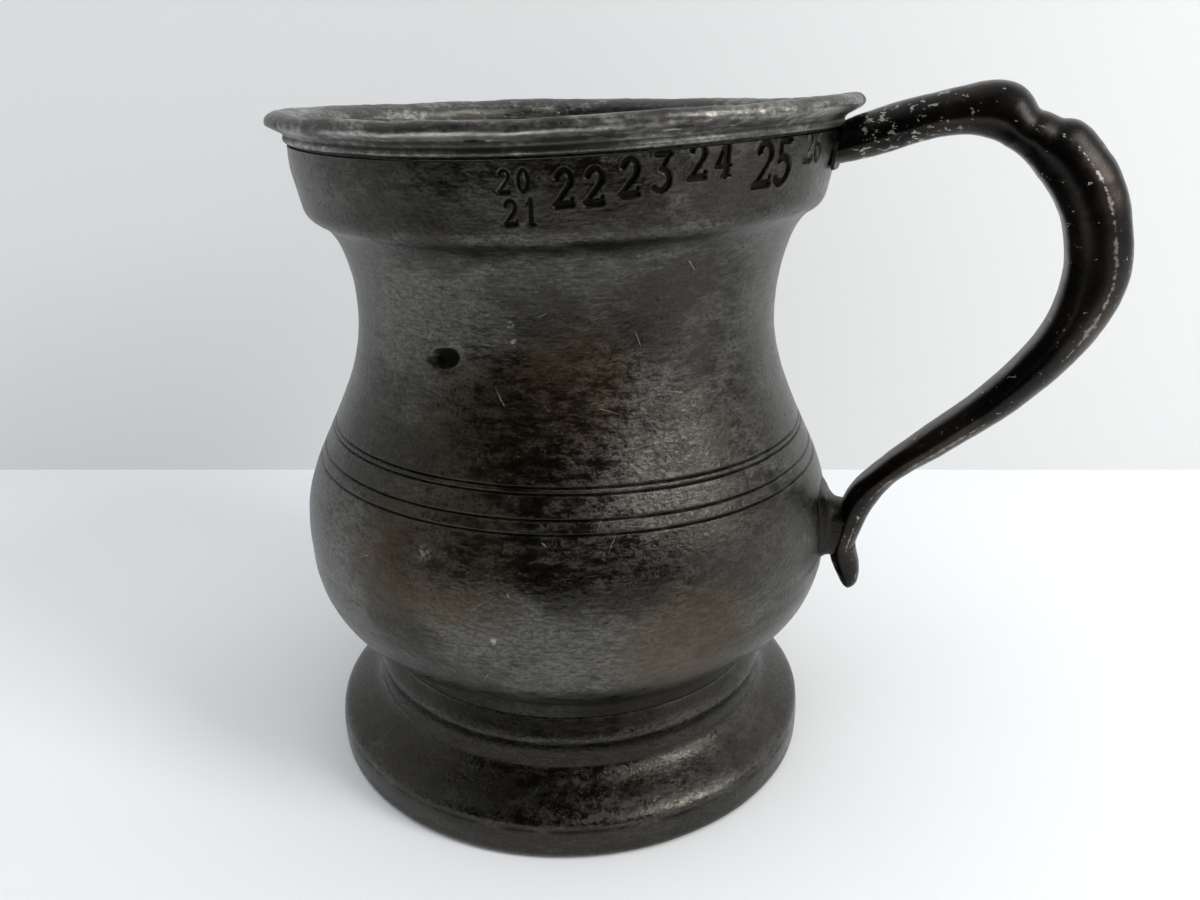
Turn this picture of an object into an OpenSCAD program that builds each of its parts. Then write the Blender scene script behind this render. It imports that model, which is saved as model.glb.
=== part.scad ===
// Bellied pewter half pint measure: a two-part cast body, a floor disc,
// a spreading foot, a rolled lip and a broken scroll handle, soldered together.
// Millimetres, +Z up. The origin is on the axis at the plane that the foot
// stands on, and the handle points along +X.

/* [Body] */
// Thickness of the cast wall
wall = 2.4; // [1.5:0.1:4]
// Widest diameter of the belly
belly_diameter = 82.4; // [70:0.1:100]
// Height of the belly's widest point above the waist
belly_rise = 19.1; // [12:0.1:26]
// Narrowest diameter of the neck
neck_diameter = 62.4; // [50:0.1:70]
// Height of the narrowest point of the neck above the belly's widest point
neck_rise = 32.3; // [26:0.1:40]
// How far the curve from belly to neck leans towards the neck
neck_lean = 0.03; // [0:0.005:0.06]
// Power of the curve under the belly, where larger is squarer
belly_power = 3.3; // [2:0.1:5]
// Diameter of the waist between the belly and the foot
waist_diameter = 61.6; // [52:0.1:66]
// Height of the waist above the foot
waist_rise = 2.5; // [1.5:0.1:5]
// How much wider than the waist the body's lower edge is, on the radius
waist_flare = 0.2; // [0:0.05:0.6]

/* [Collar] */
// Height of the flare from the neck to the collar
flare_rise = 14; // [8:0.1:20]
// Diameter where the neck flares into the collar
flare_diameter = 73.6; // [66:0.1:80]
// Height of the soft lower edge of the collar
collar_edge = 1.1; // [0.5:0.1:2]
// How far that edge stands out from the flare, on the radius
collar_edge_out = 0.5; // [0.2:0.1:1]
// How far the collar spreads up to the lip, on the radius
collar_spread = 1.3; // [0.5:0.1:3]
// Height of the collar
collar_rise = 10; // [7:0.1:14]
// Height of the upright stretch under the lip
collar_straight = 2.8; // [1:0.1:5]
// What the upright stretch still spreads, on the radius
collar_taper = 0.1; // [0:0.05:0.3]
// Height of the tongue that locates the lip
tongue_height = 1.5; // [0.8:0.1:2]
// Thickness of the tongue
tongue_wall = 1.3; // [0.8:0.1:1.6]

/* [Incised lines] */
// Height of the body seam above the belly's widest point
seam_rise = 14; // [10:0.1:18]
// Distance from the seam to the nearer line of each pair
line_offset = 1.5; // [0.8:0.1:3]
// Distance between the two lines of the upper pair
upper_pair_gap = 0.8; // [0.6:0.1:2]
// Distance between the two lines of the lower pair
lower_pair_gap = 1.5; // [0.6:0.1:2]
// Width of an incised line
line_width = 0.5; // [0.3:0.05:1]
// Depth of an incised line
line_depth = 0.3; // [0.1:0.05:0.6]

/* [Joints] */
// Height of the lap between the two body castings
lap_height = 3; // [1.5:0.1:5]
// Thickness of the solder in every joint
solder_film = 0.2; // [0.1:0.05:0.3]
// Height of the spigot that locates the foot in the body
spigot_height = 1.5; // [0.8:0.1:2]
// Thickness of the body left around the floor disc
rebate_wall = 1.25; // [0.8:0.05:2]

/* [Floor] */
// Room between the floor disc and the spigot of the foot
floor_room = 0.3; // [0.1:0.1:1]
// Thickness of the floor disc
floor_thickness = 2.1; // [1.5:0.1:3]
// Width of the ledge that the floor disc is pressed up against
floor_ledge = 1.2; // [0.8:0.1:2]
// Chamfer round the underside of the floor disc
floor_chamfer = 0.3; // [0.1:0.1:0.6]

/* [Foot] */
// Outer diameter of the foot
foot_diameter = 78.2; // [70:0.1:90]
// Height of the upright band round the foot
foot_band = 4.9; // [3:0.1:8]
// Chamfer on the lower edge of the foot
foot_chamfer = 0.6; // [0.2:0.1:1.5]
// Depth of the fine grooves turned into the foot
foot_groove = 0.4; // [0.2:0.1:0.8]
// Height of the swept part from the band to the step
sweep_rise = 6; // [4:0.1:9]
// How far the step and the ridge stand out from the waist, on the radius
step_out = 1.5; // [0.8:0.1:3]
// How far the bottom of the hollow stands out from the waist, on the radius
cove_out = 0.7; // [0.2:0.1:1.2]
// Height of the hollow between the step and the ridge
cove_rise = 4; // [2:0.1:6]
// Height of the foot above the ridge
foot_neck = 3.2; // [2:0.1:5]
// Thickness of the foot wall
foot_wall = 2.6; // [1.8:0.1:4]
// Thickness of the foot under the sweep, as a share of its wall
sweep_share = 0.6; // [0.4:0.05:1]

/* [Lip] */
// How far the flared lip stands out from the collar, on the radius
lip_overhang = 2.55; // [1.5:0.05:4]
// Height of the lip's widest point above the collar
lip_rise = 3; // [2.6:0.1:5]
// Height of the lip's crest above its widest point
lip_crown = 1.15; // [0.6:0.05:2]
// How far the crest lies inside the widest point, on the radius
lip_inset = 1.2; // [0.6:0.05:2]
// How square the lip's inner side is, where 2 is a true ellipse
lip_power = 2.2; // [2:0.1:4]
// Radius of the small bead under the lip
bead_radius = 0.5; // [0.3:0.05:0.6]
// How far the middle of the bead stands out from the collar
bead_out = -0.15; // [-0.3:0.05:0.4]
// How far the crease above the bead stands out from the collar
crease_out = 0.3; // [0.1:0.05:0.6]

/* [Handle] */
// Distance from the top of the collar down to the middle of the upper joint
root_drop = 1; // [0.5:0.1:4]
// Height of the middle of the block behind the tail above the belly's widest point
strut_rise = 0.5; // [-3:0.1:3]
// How far the inside of the grip stands out from the line between the two joints
handle_reach = 29; // [24:0.1:34]
// Thickness of the grip, from its inner face to its back
grip_thickness = 8.2; // [6:0.1:10]
// Width of the grip
grip_width = 9.8; // [7:0.1:12]
// Gap between the belly and the inner face of the tail
tail_stand_off = 1.1; // [0.9:0.05:3]
// Width of the block behind the tail
strut_width = 6; // [4:0.1:8]
// Height of the block behind the tail
strut_tall = 9.6; // [6:0.1:12]
// How far the block sweeps up where it meets the belly
strut_sweep = 2; // [0.5:0.1:4]
// Thickness of the solder pad that shows round each handle joint
pad_thickness = 0.4; // [0.3:0.1:1]
// How far a solder pad shows past the piece that it holds
pad_margin = 0.5; // [0.3:0.1:1.5]
// Radius of the corners of a solder pad
pad_corner = 1; // [0.5:0.1:2]
// Gap between the handle and the lip above its root
lip_clearance = 0.15; // [0.1:0.05:0.5]

/* [Handle course] */
// Each row is one station on the inner side: share of the way down from the root
// to the strut, then shares of the reach, of the thickness and of the width.
// Station where the loft starts, inside the collar
root_inside = [0.053, -0.081, 0.561, 1.082];
// Station where the handle leaves the collar
root_face = [0.041, 0.001, 0.61, 1.082];
// Station just past the lip
root_rise = [0.02, 0.171, 0.72, 1.061];
// Station on the rising top run
top_run = [-0.017, 0.376, 0.691, 1];
// Station at the end of the top run
top_run_end = [-0.032, 0.543, 0.74, 1];
// Station on the crest of the broken scroll
crest = [-0.023, 0.649, 0.883, 1];
// Station on the knuckle behind the crest
knuckle = [-0.005, 0.722, 0.717, 0.98];
// Station in the dip behind the knuckle
dip = [0.016, 0.781, 0.76, 0.98];
// Station on the shelf behind the dip
shelf = [0.033, 0.827, 0.824, 0.98];
// Station where the lower scroll's back starts with a blunt end
second_bump = [0.058, 0.847, 1.005, 1];
// Station just behind that blunt end
bump_back = [0.076, 0.89, 0.991, 1];
// Station on the shoulder of the grip
shoulder = [0.123, 0.94, 1.027, 1];
// Station on the upper part of the grip
grip_top = [0.186, 0.986, 0.997, 1];
// Station at the widest reach of the grip
grip_reach = [0.292, 1.001, 0.974, 1];
// Station where the grip turns in
grip_turn = [0.416, 0.934, 0.781, 0.98];
// Station at the top of the lower run
lower_run_top = [0.56, 0.737, 0.646, 0.939];
// Station in the middle of the lower run
lower_run = [0.7, 0.452, 0.549, 0.857];
// Station at the end of the lower run
lower_run_end = [0.811, 0.226, 0.46, 0.796];
// Station at the top of the strut
tail_top = [0.908, 0.068, 0.549, 0.755];
// Station beside the strut
tail = [1.035, -0.004, 0.47, 0.735];
// Station where the tail flicks out
tail_flick = [1.108, -0.01, 0.512, 0.694];
// Station near the rounded end of the tail
tail_end = [1.154, 0.03, 0.429, 0.592];
// Last station of the tail
tail_tip = [1.191, 0.069, 0.195, 0.347];

/* [Hidden] */
$fn = 96;
half_turn = 180;
belly_radius = belly_diameter / 2;
neck_radius = neck_diameter / 2;
waist_radius = waist_diameter / 2;
curve_steps = 18;
flare_steps = 10;

// Heights above the table, stacked from the foot upwards.
step_height = foot_band + sweep_rise;
ridge_height = step_height + cove_rise;
foot_top = ridge_height + foot_neck;
floor_top = foot_top + spigot_height + floor_room + floor_thickness;
waist_height = foot_top + waist_rise;
belly_height = waist_height + belly_rise;
seam_height = belly_height + seam_rise;
neck_height = belly_height + neck_rise;
collar_height = neck_height + flare_rise;
collar_top = collar_height + collar_rise;
lip_height = collar_top + lip_rise;
root_height = collar_top - root_drop;
strut_height = belly_height + strut_rise;
collar_radius = flare_diameter / 2 + collar_edge_out;
collar_top_radius = collar_radius + collar_spread;

// Outer outline of the body, as [radius, height] from the waist to the collar.
function underside(s) = [
    waist_radius + (belly_radius - waist_radius) * (1 - pow(s, belly_power)),
    belly_height - s * (belly_height - waist_height)];
function leaned(t) = t + neck_lean * pow(sin(half_turn * t), 2);
function upper_curve(t) = [
    neck_radius + (belly_radius - neck_radius) * (1 + cos(half_turn * leaned(t))) / 2,
    belly_height + t * (neck_height - belly_height)];
function flare(t) = [
    neck_radius + (flare_diameter / 2 - neck_radius) * (1 - sqrt(1 - t * t)),
    neck_height + t * (collar_height - neck_height)];
collar_outline = [
    [collar_radius, collar_height + collar_edge],
    [collar_top_radius - collar_taper, collar_top - collar_straight],
    [collar_top_radius, collar_top]];
body_outline = concat(
    [[waist_radius + waist_flare, foot_top + solder_film], [waist_radius, waist_height]],
    [for (k = [curve_steps - 1:-1:0]) underside(sin(90 * k / curve_steps))],
    [for (k = [1:curve_steps]) upper_curve(k / curve_steps)],
    [for (k = [1:flare_steps]) flare(sin(90 * k / flare_steps))],
    collar_outline);

// Inner outline: the outer one moved in by the wall along its normal.
function unit(v) = v / norm(v);
function turned(v) = [-v[1], v[0]];
function moved_in(points, i, distance) =
    let (before = points[max(i - 1, 0)])
    let (after = points[min(i + 1, len(points) - 1)])
    points[i] + distance * turned(unit(after - before));
flare_end = len(body_outline) - len(collar_outline) - 1;
inner_outline = concat(
    [for (i = [2:flare_end - 1]) moved_in(body_outline, i, wall)],
    [for (i = [1:2]) collar_outline[i] - [wall, 0]]);
outer_table = [for (p = body_outline) [p[1], p[0]]];
inner_table = [for (p = inner_outline) [p[1], p[0]]];
function outer_radius(z) = lookup(z, outer_table);
function inner_radius(z) = lookup(z, inner_table);
function middle_radius(z) = (outer_radius(z) + inner_radius(z)) / 2;
function between(points, low, high) = [for (p = points) if (p[1] > low && p[1] < high) p];
function reversed(points) = [for (i = [len(points) - 1:-1:0]) points[i]];

// The seam in the belly and the joints at the floor and the lip.
half_film = solder_film / 2;
lap_top = seam_height + lap_height;
lap_steps = 4;
function lap_face(side, low, high) = [
    for (k = [0:lap_steps])
        let (z = low + (high - low) * k / lap_steps)
        [middle_radius(z) + side * half_film, z]];
rebate_radius = waist_radius - rebate_wall;
ledge_radius = rebate_radius - floor_ledge;
floor_radius = rebate_radius - solder_film;
bore_radius = collar_top_radius - wall;
tongue_radius = bore_radius + tongue_wall;
tongue_top = collar_top + tongue_height;

module turn(points) {
    rotate_extrude() polygon(points);
}

// A V groove turned into a wall, open at the surface.
module turned_line(radius, z) {
    turn([[radius - line_depth, z],
        [radius + line_depth, z + line_width],
        [radius + line_depth, z - line_width]]);
}

module lower_body() {
    color("dimgray") difference() {
        turn(concat(
            between(body_outline, 0, seam_height - half_film),
            [[outer_radius(seam_height - half_film), seam_height - half_film]],
            lap_face(-1, seam_height - half_film, lap_top - half_film),
            [[inner_radius(lap_top - half_film), lap_top - half_film]],
            reversed(between(inner_outline, floor_top + solder_film, lap_top - half_film)),
            [[ledge_radius, floor_top + solder_film],
                [rebate_radius, floor_top + solder_film],
                [rebate_radius, foot_top + solder_film]]));
        for (z = [seam_height - line_offset, seam_height - line_offset - lower_pair_gap])
            turned_line(outer_radius(z), z);
    }
}

module upper_body() {
    color("gray") difference() {
        turn(concat(
            [[outer_radius(seam_height + half_film), seam_height + half_film]],
            between(body_outline, seam_height + half_film, collar_top),
            [[collar_top_radius, collar_top], [tongue_radius, collar_top],
                [tongue_radius, tongue_top], [bore_radius, tongue_top],
                [bore_radius, collar_top]],
            reversed(between(inner_outline, lap_top + half_film, collar_top)),
            [[inner_radius(lap_top + half_film), lap_top + half_film]],
            reversed(lap_face(1, seam_height + half_film, lap_top + half_film))));
        for (z = [seam_height + line_offset, seam_height + line_offset + upper_pair_gap])
            turned_line(outer_radius(z), z);
    }
}

// The solder that fills the lap between the two castings.
module belly_solder() {
    color("silver") turn(concat(
        [[outer_radius(seam_height), seam_height - half_film],
            [outer_radius(seam_height), seam_height + half_film]],
        lap_face(1, seam_height + half_film, lap_top + half_film),
        [[inner_radius(lap_top), lap_top + half_film],
            [inner_radius(lap_top), lap_top - half_film]],
        reversed(lap_face(-1, seam_height - half_film, lap_top - half_film))));
}

module base_disc() {
    bottom = floor_top - floor_thickness;
    color("gray") turn([[0, bottom], [floor_radius - floor_chamfer, bottom],
        [floor_radius, bottom + floor_chamfer], [floor_radius, floor_top], [0, floor_top]]);
}

module base_solder() {
    bottom = floor_top - floor_thickness + floor_chamfer;
    top = floor_top + solder_film;
    color("silver") turn([[floor_radius, bottom], [rebate_radius, bottom],
        [rebate_radius, top], [ledge_radius, top], [ledge_radius, floor_top],
        [floor_radius, floor_top]]);
}

// Outer outline of the foot, from the table up to the waist.
foot_radius = foot_diameter / 2;
step_radius = waist_radius + step_out;
cove_radius = waist_radius + cove_out;
foot_top_radius = waist_radius + waist_flare;
sweep_steps = 10;
groove_step = foot_groove / 2;
function foot_sweep(t) = [
    step_radius + (foot_radius - step_radius) * (1 + cos(half_turn * t)) / 2,
    foot_band + foot_groove + t * (step_height - foot_band - 2 * foot_groove)];
foot_outline = concat(
    [[foot_radius - foot_chamfer, 0], [foot_radius, foot_chamfer],
        [foot_radius, foot_band - groove_step], [foot_radius - foot_groove, foot_band]],
    [for (k = [0:sweep_steps]) foot_sweep(k / sweep_steps)],
    [[step_radius - foot_groove, step_height - groove_step], [step_radius, step_height],
        [cove_radius, (step_height + ridge_height) / 2], [step_radius, ridge_height],
        [cove_radius, (ridge_height + foot_top) / 2], [foot_top_radius, foot_top]]);
spigot_top = foot_top + spigot_height;
foot_bore = floor_radius - foot_wall;
function foot_inside(t) =
    let (p = foot_sweep(t))
    [max(p[0] - foot_wall, foot_bore), p[1] - foot_wall * sweep_share];

module foot_ring() {
    color("dimgray") turn(concat(foot_outline,
        [[floor_radius, foot_top], [floor_radius, spigot_top], [foot_bore, spigot_top]],
        [for (k = [sweep_steps:-1:0]) foot_inside(k / sweep_steps)],
        [[foot_radius - foot_wall - foot_chamfer, 0]]));
}

module foot_solder() {
    color("silver") turn([[floor_radius, foot_top], [foot_top_radius, foot_top],
        [foot_top_radius, foot_top + solder_film], [rebate_radius, foot_top + solder_film],
        [rebate_radius, spigot_top], [floor_radius, spigot_top]]);
}

// Outline of the flared lip: a small bead, a crease, a hollow that sweeps out to
// the widest point, a round edge up to the crest, and a rounded inner side.
lip_radius = collar_top_radius + lip_overhang;
crest_radius = lip_radius - lip_inset;
crest_height = lip_height + lip_crown;
lip_bottom = collar_top + solder_film;
bead_middle = [collar_top_radius + bead_out, lip_bottom + bead_radius];
crease = [collar_top_radius + crease_out, bead_middle[1] + bead_radius];
lip_seat = tongue_top + solder_film;
lip_steps = 8;
function eased(t) = (1 - cos(half_turn * t)) / 2;
function lip_sweep(t) = [crease[0] + (lip_radius - crease[0]) * eased(t),
    crease[1] + (lip_height - crease[1]) * t];
function lip_edge(t) = [crest_radius + lip_inset * cos(90 * t),
    lip_height + lip_crown * sin(90 * t)];
function lip_inside(t) = [
    crest_radius - (crest_radius - bore_radius) * pow(sin(90 * t), 2 / lip_power),
    lip_seat + (crest_height - lip_seat) * pow(cos(90 * t), 2 / lip_power)];
bead_outline = [for (angle = [-90:30:30]) bead_middle + bead_radius * [cos(angle), sin(angle)]];
lip_outside = concat(bead_outline,
    [for (k = [0:lip_steps]) lip_sweep(k / lip_steps)],
    [for (k = [1:lip_steps]) lip_edge(k / lip_steps)]);

module lip_ring() {
    color("lightgray") turn(concat(lip_outside,
        [for (k = [1:lip_steps]) lip_inside(k / lip_steps)],
        [[tongue_radius + solder_film, lip_seat], [tongue_radius + solder_film, lip_bottom]]));
}

module lip_solder() {
    color("silver") turn([[tongue_radius, collar_top], [collar_top_radius, collar_top],
        [collar_top_radius, lip_bottom], [tongue_radius + solder_film, lip_bottom],
        [tongue_radius + solder_film, lip_seat], [bore_radius, lip_seat],
        [bore_radius, tongue_top],
        [tongue_radius, tongue_top]]);
}

// The handle is lofted along a smooth course through its stations, which follow
// its inner side, so that the knuckle and the blunt end show on its back alone.
root_anchor = [outer_radius(root_height), root_height];
strut_anchor = [outer_radius(strut_height) + tail_stand_off, strut_height];
function placed(station) =
    let (p = root_anchor + station[0] * (strut_anchor - root_anchor))
    [p[0] + station[1] * handle_reach, p[1], station[2] * grip_thickness,
        station[3] * grip_width / 2];
stations = [for (s = [root_inside, root_face, root_rise, top_run, top_run_end, crest, knuckle,
    dip, shelf, second_bump, bump_back, shoulder, grip_top, grip_reach, grip_turn,
    lower_run_top, lower_run, lower_run_end, tail_top, tail, tail_flick, tail_end, tail_tip])
    placed(s)];
station_steps = 4;
function smooth(a, b, c, d, t) = 0.5 * (2 * b + (c - a) * t
    + (2 * a - 5 * b + 4 * c - d) * t * t + (3 * b - a - 3 * c + d) * t * t * t);
last_station = len(stations) - 1;
function course_point(i, t) = smooth(stations[max(i - 1, 0)], stations[i],
    stations[i + 1], stations[min(i + 2, last_station)], t);
course = concat(
    [for (i = [0:last_station - 1]) for (k = [0:station_steps - 1])
        course_point(i, k / station_steps)],
    [stations[last_station]]);
last_ring = len(course) - 1;

// Cross-section: shares of the thickness from the inner face, and of the half width.
section = [[0, 0.37], [0.07, 0.6], [0.34, 1], [0.67, 0.82], [0.93, 0.45], [1, 0],
    [0.93, -0.45], [0.67, -0.82], [0.34, -1], [0.07, -0.6], [0, -0.37]];
section_count = len(section);
function heading(i) =
    let (step = course[min(i + 1, last_ring)] - course[max(i - 1, 0)])
    unit([step[0], step[1]]);
function ring_point(i, s) =
    let (out = turned(heading(i)))
    let (depth = s[0] * course[i][2])
    [course[i][0] + depth * out[0], s[1] * course[i][3], course[i][1] + depth * out[1]];
handle_points = [for (i = [0:last_ring]) for (s = section) ring_point(i, s)];
function corner(i, k) = i * section_count + k % section_count;
handle_faces = concat(
    [[for (k = [0:section_count - 1]) k]],
    [for (i = [0:last_ring - 1]) for (k = [0:section_count - 1])
        [corner(i, k), corner(i + 1, k), corner(i + 1, k + 1)]],
    [for (i = [0:last_ring - 1]) for (k = [0:section_count - 1])
        [corner(i, k), corner(i + 1, k + 1), corner(i, k + 1)]],
    [[for (k = [section_count - 1:-1:0]) corner(last_ring, k)]]);

// The body as a solid that the handle's root is fitted against.
module body_against_root(gap) {
    low = neck_height;
    turn(concat([[0, low]],
        [for (p = between(body_outline, low, collar_top)) p + [gap, 0]],
        [[collar_top_radius + gap, collar_top]],
        [for (p = lip_outside) if (p[0] > collar_top_radius) p + [lip_clearance, 0]],
        [[crest_radius, crest_height + lip_clearance], [0, crest_height + lip_clearance]]));
}

module body_against_strut(gap) {
    $fn = 240;
    turn(concat([[0, waist_height]],
        [for (p = between(body_outline, waist_height, neck_height)) p + [gap, 0]],
        [[0, neck_height]]));
}

module handle() {
    color("#3c3c3c") difference() {
        polyhedron(points = handle_points, faces = handle_faces, convexity = 6);
        body_against_root(pad_thickness);
    }
}

// A block that runs along X, with rounded corners.
module block(width, tall, corner_radius, from, to) {
    translate([from, 0, 0]) rotate([90, 0, 90]) linear_extrude(to - from)
        offset(corner_radius) square([width - 2 * corner_radius, tall - 2 * corner_radius],
            center = true);
}

root_low = placed(root_face)[1];
pad_tall = collar_top - solder_film - root_low + pad_margin;
module handle_solder() {
    color("silver") difference() {
        intersection() {
            translate([0, 0, root_low - pad_margin + pad_tall / 2])
                block(root_face[3] * grip_width + 2 * pad_margin, pad_tall, pad_corner, bore_radius,
                    collar_top_radius + 2 * pad_thickness);
            body_against_root(pad_thickness);
        }
        body_against_root(0);
    }
}

// The strut ends on the inner face of the tail, which is flat across its middle.
function tail_face(z) = lookup(z, [for (i = [last_ring:-1:last_ring - 6 * station_steps])
    let (p = ring_point(i, section[0])) [p[2], p[0]]]);
strut_low = strut_height - strut_tall / 2;
strut_high = strut_height + strut_tall / 2;
strut_top = strut_high + strut_sweep;
strut_slices = 5;
function strut_z(k) = strut_low + strut_tall * k / strut_slices;
function strut_sweep_point(t) = [
    outer_radius(strut_top) + t * (tail_face(strut_high) - half_film - outer_radius(strut_top)),
    strut_high + strut_sweep * (1 - t) * (1 - t)];
module lower_strut() {
    inside = outer_radius(strut_top) - wall;
    color("#444444") difference() {
        rotate([90, 0, 0]) linear_extrude(strut_width, center = true)
            polygon(concat([[inside, strut_top], [inside, strut_low]],
                [for (k = [0:strut_slices]) [tail_face(strut_z(k)) - half_film, strut_z(k)]],
                [for (k = [strut_slices - 1:-1:0]) strut_sweep_point(k / strut_slices)]));
        body_against_strut(solder_film);
    }
}

module strut_solder() {
    pad_low = strut_low - pad_margin;
    pad_high = strut_top + pad_margin;
    color("silver") difference() {
        intersection() {
            translate([0, 0, (pad_low + pad_high) / 2])
                block(strut_width + 2 * pad_margin, pad_high - pad_low, pad_corner,
                    outer_radius(strut_top) - wall, outer_radius(strut_height) + wall);
            body_against_strut(solder_film);
        }
        body_against_strut(0);
    }
}

lower_body();
upper_body();
belly_solder();
base_disc();
base_solder();
foot_ring();
foot_solder();
lip_ring();
lip_solder();
handle();
handle_solder();
lower_strut();
strut_solder();
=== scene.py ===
# %% [markdown]
# A bellied pewter half pint measure, old and dark, with a broken scroll handle.
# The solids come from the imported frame. This lesson dresses them: each turned
# casting is spun again with a finer outline, the handle is lofted again with
# rounder sides, all of it is knocked about as years of use would do, and each
# piece gets a finish built from shader nodes.

# %% Load the frame and remember its box
import math

import bmesh
import bpy
import numpy as np
from mathutils import Matrix, Vector


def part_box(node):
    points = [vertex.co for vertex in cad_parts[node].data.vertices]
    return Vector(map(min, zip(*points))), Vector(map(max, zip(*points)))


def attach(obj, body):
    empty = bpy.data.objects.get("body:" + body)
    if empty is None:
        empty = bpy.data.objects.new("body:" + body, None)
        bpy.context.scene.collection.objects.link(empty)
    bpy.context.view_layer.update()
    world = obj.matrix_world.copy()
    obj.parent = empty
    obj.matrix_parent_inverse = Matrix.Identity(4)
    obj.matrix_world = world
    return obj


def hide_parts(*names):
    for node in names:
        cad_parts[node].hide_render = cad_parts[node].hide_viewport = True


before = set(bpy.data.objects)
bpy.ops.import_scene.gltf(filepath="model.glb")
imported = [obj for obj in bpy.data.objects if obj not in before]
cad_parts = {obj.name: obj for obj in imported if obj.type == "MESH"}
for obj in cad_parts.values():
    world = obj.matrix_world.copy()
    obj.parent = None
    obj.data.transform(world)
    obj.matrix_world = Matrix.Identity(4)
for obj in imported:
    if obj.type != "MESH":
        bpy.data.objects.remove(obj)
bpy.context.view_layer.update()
scene = bpy.context.scene
scene.view_settings.view_transform = "Standard"
MM = 0.001

# %% [markdown]
# The photograph was taken from close by, slightly above and to one side of the
# handle. The camera's place is written as an eye height and a distance from the
# measure's axis, with the handle turned towards the eye by a known angle.

# %% Camera
HANDLE_TURN = math.radians(18)
EYE_DISTANCE = 147.3 * MM
EYE_HEIGHT = 103.3 * MM
EYE_PITCH = math.radians(20.82)
EYE_YAW = math.radians(1.93)
LENS_MM = 29.21
SENSOR_MM = 36


def round_axis(distance, azimuth, height):
    """A point at a distance from the axis; azimuth 0 is the eye's side, positive to its right."""
    turn = azimuth + HANDLE_TURN - math.pi / 2
    return Vector((distance * math.cos(turn), distance * math.sin(turn), height))


camera_data = bpy.data.cameras.new("eye")
camera_data.lens = LENS_MM
camera_data.sensor_width = SENSOR_MM
camera_data.clip_start = 1 * MM
camera = bpy.data.objects.new("eye", camera_data)
camera.location = round_axis(EYE_DISTANCE, 0, EYE_HEIGHT)
camera.rotation_euler = (math.pi / 2 - EYE_PITCH, 0, HANDLE_TURN - EYE_YAW)
scene.collection.objects.link(camera)
scene.camera = camera
print("eye at, mm:", [round(c / MM, 1) for c in camera.location])

# %% [markdown]
# Shader maths reads best as plain arithmetic. This wrapper holds one socket, and
# its operators add the Math nodes that an expression asks for. Colours and
# vectors go through Mix and Vector Math, because a Math node would turn them grey.

# %% A socket that does arithmetic


class Wave:
    """A shader socket with operators; `tree` is the node tree that it lives in."""

    def __init__(self, tree, socket):
        self.tree = tree
        self.socket = socket

    def node(self, kind, settings=None, **inputs):
        """Adds a node: its settings first, then its sockets by name or place."""
        made = self.tree.nodes.new(kind)
        for name, value in (settings or {}).items():
            setattr(made, name, value)
        for name, value in inputs.items():
            target = made.inputs[int(name[1:])] if name[0] == "i" and name[1:].isdigit() \
                else made.inputs[name.replace("_", " ")]
            if isinstance(value, Wave):
                self.tree.links.new(value.socket, target)
            else:
                target.default_value = value
        return made

    def out(self, made, place=0):
        return Wave(self.tree, made.outputs[place])

    def maths(self, operation, *values):
        return self.out(self.node("ShaderNodeMath", {"operation": operation},
                                  **{f"i{k}": v for k, v in enumerate(values)}))

    def __add__(self, other):
        return self.maths("ADD", self, other)

    __radd__ = __add__

    def __sub__(self, other):
        return self.maths("SUBTRACT", self, other)

    def __rsub__(self, other):
        return self.maths("SUBTRACT", other, self)

    def __mul__(self, other):
        return self.maths("MULTIPLY", self, other)

    __rmul__ = __mul__

    def band(self, low, high, to_low=0.0, to_high=1.0):
        """A smooth step from one value to another as this one goes from low to high."""
        made = self.node("ShaderNodeMapRange", {"interpolation_type": "SMOOTHSTEP"},
                         Value=self, From_Min=low, From_Max=high, To_Min=to_low, To_Max=to_high)
        return self.out(made)

    def blend(self, first, second):
        """A colour between two colours, by this value."""
        made = self.node("ShaderNodeMix", {"data_type": "RGBA"}, i0=self, i6=first, i7=second)
        return self.out(made, 2)


def rgb(red, green, blue):
    return (red, green, blue, 1.0)


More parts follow.
